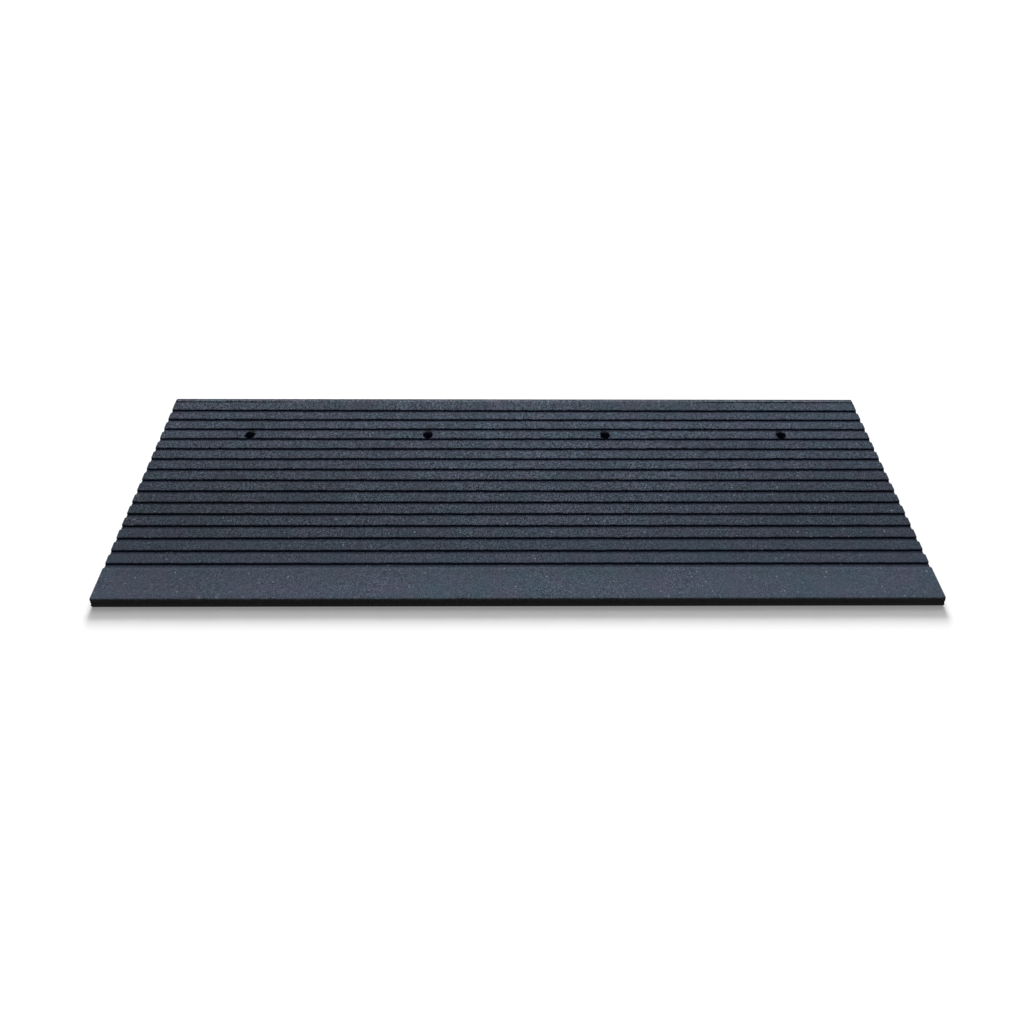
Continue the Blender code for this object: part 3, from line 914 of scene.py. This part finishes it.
def pale_flecks_group():
    """Scattered pale crumbs: one in the middle of some cells of a net, each of its own brightness."""
    settings = {"Spacing": 0.009, "Size": 0.0008, "Share": 0.5}
    tree, nodes, given, taken = new_group("pale_flecks", settings, ("Mask",))
    distance, colour = nodes.cells(nodes.in_units(given["Place"], given["Spacing"]), 1.0)
    reach = nodes.math("MULTIPLY", distance, given["Spacing"])
    near = nodes.remap(reach, nodes.math("MULTIPLY", given["Size"], 0.4), given["Size"], 1.0, 0.0)
    draw = nodes.draws(colour)
    chosen = nodes.math("LESS_THAN", draw[0], given["Share"])
    bright = nodes.math("POWER", draw[1], 1.6)
    nodes.feed(taken["Mask"], nodes.math("MULTIPLY", near, nodes.math("MULTIPLY", chosen, bright)))
    return tree


def clouds_group():
    """Soft patches of two kinds at one size, both from 0 to 1."""
    tree, nodes, given, taken = new_group("clouds", {"Size": 0.03}, ("Shade", "Tint"))
    place = nodes.in_units(given["Place"], given["Size"])
    shade_noise = nodes.noise(place, 1.0, 2.0)
    tint_noise = nodes.noise(nodes.vector("ADD", place, (17.0, 5.0, 9.0)), 1.0, 2.0)
    nodes.feed(taken["Shade"], nodes.remap(shade_noise, 0.3, 0.7))
    nodes.feed(taken["Tint"], nodes.remap(tint_noise, 0.3, 0.7))
    return tree


def worn_and_highlit_edges_group():
    """Scuffing and a painted highlight on edges that stick out: the edge's own amount, broken up by noise.
    """
    tree, nodes, given, taken = new_group("worn_and_highlit_edges", {"Edge": 0.0, "Size": 0.006}, ("Mask",))
    noise = nodes.noise(nodes.in_units(given["Place"], given["Size"]), 1.0, 3.0)
    broken = nodes.remap(noise, 0.35, 0.65, 0.45, 1.0)
    nodes.feed(taken["Mask"], nodes.math("MULTIPLY", given["Edge"], broken))
    return tree


def hole_shade_group(xs, y):
    """Painted shade round the mouths of a row of evenly spaced holes, and down the rib's back behind them.

    In the plane of the ribs' tops the painted shade is an ellipse round each hole. Lower down it
    lies further back, by a fixed share of the drop.
    """
    tree, nodes, given, taken = new_group("hole_painted_shade", {"Softness": 0.1}, ("Mask",))
    pitch = (xs[-1] - xs[0]) / (len(xs) - 1)
    parts = nodes.add("SeparateXYZ", {0: given["Place"]}).outputs
    turns = nodes.math("DIVIDE", nodes.math("SUBTRACT", parts[0], xs[0]), pitch)
    across = nodes.math("SUBTRACT", turns, nodes.math("ROUND", turns))
    across = nodes.math("MULTIPLY", across, pitch / HOLE_SHADE_HALF_WIDTH)
    drop = nodes.math("SUBTRACT", nodes.math("MULTIPLY_ADD", parts[1], SLOPE, crest(0.0)), parts[2])
    behind = nodes.math("SUBTRACT", parts[1], y + HOLE_SHADE_SETBACK)
    behind = nodes.math("MULTIPLY_ADD", drop, -HOLE_SHADE_TRAIL, behind)
    behind = nodes.math("DIVIDE", behind, HOLE_SHADE_HALF_LENGTH)
    squares = nodes.math("MULTIPLY_ADD", across, across, nodes.math("MULTIPLY", behind, behind))
    reach = nodes.math("SQRT", squares)
    edge = nodes.math("ADD", 1.0, given["Softness"])
    ring = nodes.remap(reach, nodes.math("SUBTRACT", 1.0, given["Softness"]), edge, 1.0, 0.0)
    inside = nodes.math("LESS_THAN", nodes.math("ABSOLUTE", parts[0]), xs[-1] + pitch / 2)
    nodes.feed(taken["Mask"], nodes.math("MULTIPLY", ring, inside))
    return tree


def principled(name):
    """A new material, its node helper, its Principled shader and the object's own coordinates."""
    material = bpy.data.materials.new(name)
    material.use_nodes = True
    nodes = Nodes(material.node_tree)
    shader = material.node_tree.nodes["Principled BSDF"]
    place = nodes.add("TexCoord").outputs["Object"]
    return material, nodes, shader, place


def make_rubber(groups):
    """Moulded crumb rubber: black where it is fresh, with a blue-grey bloom on what faces up, painted shade
    in the grooves and round the holes, and a painted highlight on worn edges.
    """
    material, nodes, shader, place = principled("moulded_crumb_rubber")
    bloom_and_shade = nodes.attribute("bloom_and_shade")
    strip = nodes.attribute("smooth_strip")
    clouds = nodes.group(groups["clouds"], Place=place, Size=CLOUD_SIZE)
    broad = nodes.group(groups["clouds"], Place=place, Size=BROAD_CLOUD_SIZE)
    coarse = nodes.group(groups["clouds"], Place=place, Size=COARSE_PATCH_SIZE)["Tint"]
    coarse = nodes.remap(coarse, 0.2, 0.8, 0.60, 1.0)
    coarse = nodes.math("MULTIPLY", coarse, nodes.attribute("grain_contrast"))
    contrast = nodes.math("MULTIPLY", coarse, CRUMB_CONTRAST)
    grain = nodes.group(groups["crumb_grain"], Place=place, Size=CRUMB_SIZE, Contrast=contrast)
    crumbs = nodes.group(groups["pale_flecks"], Place=place, Spacing=PALE_CRUMB_SPACING,
                         Size=PALE_CRUMB_SIZE, Share=1.0)["Mask"]
    flecks = nodes.group(groups["pale_flecks"], Place=place, Spacing=FLECK_SPACING,
                         Size=FLECK_SIZE, Share=FLECK_SHARE)["Mask"]
    worn_and_highlit = nodes.group(groups["worn_and_highlit_edges"], Place=place, Edge=nodes.attribute("edge_wear_and_highlight"))["Mask"]
    hole_shade = nodes.group(groups["hole_painted_shade"], Place=place, Softness=HOLE_SHADE_SOFTNESS)["Mask"]

    # Painted shade: the grooves and the hole walls are painted a darker, bluer black
    black_and_groove_shade = nodes.blend(nodes.attribute("groove_shade"), FRESH_BLACK, GROOVE_SHADE_BLACK)
    # Grey bloom on what faces up; where it is kept low, on upright faces, at the riser feet and down into
    # the valleys, the black shows as painted shade
    cover = nodes.math("MULTIPLY", bloom_and_shade, nodes.remap(broad["Shade"], 0.0, 1.0, 0.90, 1.0))
    colour = nodes.blend(cover, black_and_groove_shade, BLOOM_GREY)
    # Edge wear, which is also a painted highlight on the rib tips and along the back land
    colour = nodes.blend(nodes.math("MULTIPLY", worn_and_highlit, SCUFFING_AND_HIGHLIGHT), colour, SCUFF_AND_HIGHLIGHT_GREY)
    purple = nodes.math("ADD", clouds["Tint"], nodes.attribute("purple"), clamp=True)
    tint = nodes.blend(purple, TEAL_TINT, PURPLE_TINT)
    colour = nodes.blend(bloom_and_shade, colour, nodes.blend(1.0, colour, tint, "MULTIPLY"))
    colour = nodes.blend(strip, colour, nodes.blend(1.0, colour, STRIP_TINT, "MULTIPLY"))
    tone = nodes.math("MULTIPLY", grain["Tone"], nodes.attribute("broad_tone"))
    colour = nodes.vector("SCALE", colour, tone)
    shown_crumbs = nodes.math("MULTIPLY", crumbs, coarse)
    shown_crumbs = nodes.math("MULTIPLY", shown_crumbs, nodes.remap(bloom_and_shade, 0.0, 1.0, 0.05, 0.9))
    colour = nodes.blend(shown_crumbs, colour, CRUMB_GREY)
    shown_flecks = nodes.math("MULTIPLY", flecks, nodes.remap(bloom_and_shade, 0.0, 1.0, 0.15, 0.80))
    colour = nodes.blend(shown_flecks, colour, FLECK_GREY)
    # Painted shade round the holes' mouths and down the ribs' backs behind them
    shown_hole_shade = nodes.math("MULTIPLY", hole_shade, nodes.remap(bloom_and_shade, 0.0, 0.3))
    colour = nodes.vector("SCALE", colour, nodes.remap(shown_hole_shade, 0.0, 1.0, 1.0, 0.06))
    nodes.feed(shader.inputs["Base Color"], colour)

    rough = nodes.remap(grain["Height"], 0.3, 1.0, 0.78, 0.64)
    nodes.feed(shader.inputs["Roughness"], rough)
    depth = nodes.math("MULTIPLY", grain["Height"], nodes.remap(strip, 0.0, 1.0, 1.0, 0.6))
    nodes.feed(shader.inputs["Normal"], nodes.bump(depth, CRUMB_RELIEF))
    nodes.feed(shader.inputs["Specular IOR Level"], RUBBER_SPECULAR)
    return material


def make_zinc(groups):
    """Zinc-plated stamped steel: soft cloudy plating, dull where the rubber's mould touched it."""
    material, nodes, shader, place = principled("zinc_plated_steel")
    clouds = nodes.group(groups["clouds"], Place=place, Size=PLATING_CLOUD_SIZE)
    grain = nodes.group(groups["crumb_grain"], Place=place, Size=PLATING_GRAIN_SIZE)
    dull = nodes.remap(clouds["Shade"], 0.55, 1.0, 0.0, 0.7)
    nodes.feed(shader.inputs["Base Color"], nodes.blend(dull, ZINC, ZINC_DULL))
    rough = nodes.remap(grain["Tone"], 0.0, 1.0, 0.26, 0.42)
    rough = nodes.math("MULTIPLY_ADD", dull, 0.25, rough)
    nodes.feed(shader.inputs["Roughness"], rough)
    nodes.feed(shader.inputs["Normal"], nodes.bump(grain["Height"], PLATING_RELIEF))
    nodes.feed(shader.inputs["Metallic"], 1.0)
    return material


def make_floor():
    """A pale floor that the camera sees from above; other rays go through it to the pale room."""
    corners = np.array(((-1, -1), (1, -1), (1, 1), (-1, 1))) * FLOOR_REACH
    mesh = bpy.data.meshes.new("studio_floor")
    mesh.from_pydata([(x, y, -FLOOR_DROP) for x, y in corners], [], [(0, 1, 2, 3)])
    floor = new_object("studio_floor", mesh)
    material = bpy.data.materials.new("studio_floor")
    material.use_nodes = True
    nodes = Nodes(material.node_tree)
    material.node_tree.nodes.remove(material.node_tree.nodes["Principled BSDF"])
    paint = nodes.add("BsdfDiffuse", {"Color": (FLOOR_PAINT,) * 3 + (1.0,)}).outputs[0]
    glow = nodes.add("Emission", {"Color": (1.0, 1.0, 1.0, 1.0), "Strength": FLOOR_GLOW}).outputs[0]
    seen = nodes.add("AddShader", {0: paint, 1: glow}).outputs[0]
    clear = nodes.add("BsdfTransparent").outputs[0]
    from_above = nodes.math("SUBTRACT", 1.0, nodes.add("NewGeometry").outputs["Backfacing"])
    shown = nodes.math("MULTIPLY", nodes.add("LightPath").outputs["Is Camera Ray"], from_above)
    surface = nodes.add("MixShader", {0: shown, 1: clear, 2: seen}).outputs[0]
    nodes.feed(material.node_tree.nodes["Material Output"].inputs["Surface"], surface)
    mesh.materials.append(material)
    return floor


def make_room():
    """The room's light: white where the camera sees it, and dim for the ramp, from above and below."""
    world = bpy.data.worlds.new("pale_room")
    world.use_nodes = True
    nodes = Nodes(world.node_tree)
    direction = nodes.add("TexCoord").outputs["Generated"]
    height = nodes.add("SeparateXYZ", {0: direction}).outputs[2]
    strength = nodes.remap(height, -ROOM_HORIZON, ROOM_HORIZON, ROOM_BELOW, ROOM_ABOVE, smooth=True)
    seen = nodes.add("LightPath").outputs["Is Camera Ray"]
    strength = nodes.remap(seen, 0.0, 1.0, strength, 1.0)
    nodes.feed(world.node_tree.nodes["Background"].inputs["Strength"], strength)
    nodes.feed(world.node_tree.nodes["Background"].inputs["Color"], (1.0, 1.0, 1.0, 1.0))
    bpy.context.scene.world = world


def make_lamp(name, settings, lit):
    """A soft far lamp behind the ramp, which lights only the objects given."""
    elevation, across, strength, colour = settings
    data = bpy.data.lights.new(name, "SUN")
    data.angle = math.radians(across)
    data.energy = strength
    data.color = colour
    lamp = bpy.data.objects.new(name, data)
    lamp.rotation_euler = (math.radians(elevation - 90), 0, 0)
    bpy.context.scene.collection.objects.link(lamp)
    receivers = bpy.data.collections.new(f"{name}_receivers")
    for item in lit:
        receivers.objects.link(item)
    lamp.light_linking.receiver_collection = receivers


def make_camera():
    """The camera at the photograph's viewing angle, with no shift and no depth of field."""
    forward = Vector((
        math.sin(CAMERA_YAW) * math.cos(CAMERA_TILT),
        math.cos(CAMERA_YAW) * math.cos(CAMERA_TILT),
        -math.sin(CAMERA_TILT),
    ))
    level_right = Vector((math.cos(CAMERA_YAW), -math.sin(CAMERA_YAW), 0.0))
    level_down = forward.cross(level_right)
    right = level_right * math.cos(CAMERA_ROLL) + level_down * math.sin(CAMERA_ROLL)
    down = level_down * math.cos(CAMERA_ROLL) - level_right * math.sin(CAMERA_ROLL)
    data = bpy.data.cameras.new("camera")
    data.sensor_width = SENSOR_WIDTH
    data.lens = SENSOR_WIDTH * FOCAL_PIXELS / PHOTO_SIZE
    data.clip_end = 2 * FLOOR_REACH
    camera = bpy.data.objects.new("camera", data)
    turn = Matrix((right, -down, -forward)).transposed().to_4x4()
    camera.matrix_world = Matrix.Translation(CAMERA_PLACE) @ turn
    bpy.context.scene.collection.objects.link(camera)
    bpy.context.scene.camera = camera


def main():
    """Build every piece and the stage."""
    make_camera()
    groups = {
        "crumb_grain": crumb_grain_group(),
        "pale_flecks": pale_flecks_group(),
        "clouds": clouds_group(),
        "worn_and_highlit_edges": worn_and_highlit_edges_group(),
        "hole_painted_shade": hole_shade_group(*hole_row()),
    }
    rubber, zinc = make_rubber(groups), make_zinc(groups)
    ramp = make_ramp()
    ramp.data.materials.clear()
    ramp.data.materials.append(rubber)
    washers = [make_washer(name, box) for name, box in zip(WASHER_NAMES, WASHER_BOXES)]
    for washer in washers:
        washer.data.materials.append(zinc)
    pieces = [ramp, *washers]
    for piece in pieces:
        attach(piece, BODY)
    floor = make_floor()
    make_room()
    make_lamp("tread_lamp", TREAD_LAMP, pieces)
    for number, settings in enumerate(FLOOR_LAMPS, start=1):
        make_lamp(f"floor_lamp_{number}", settings, [floor])
    bpy.context.scene.view_settings.view_transform = "Standard"


main()
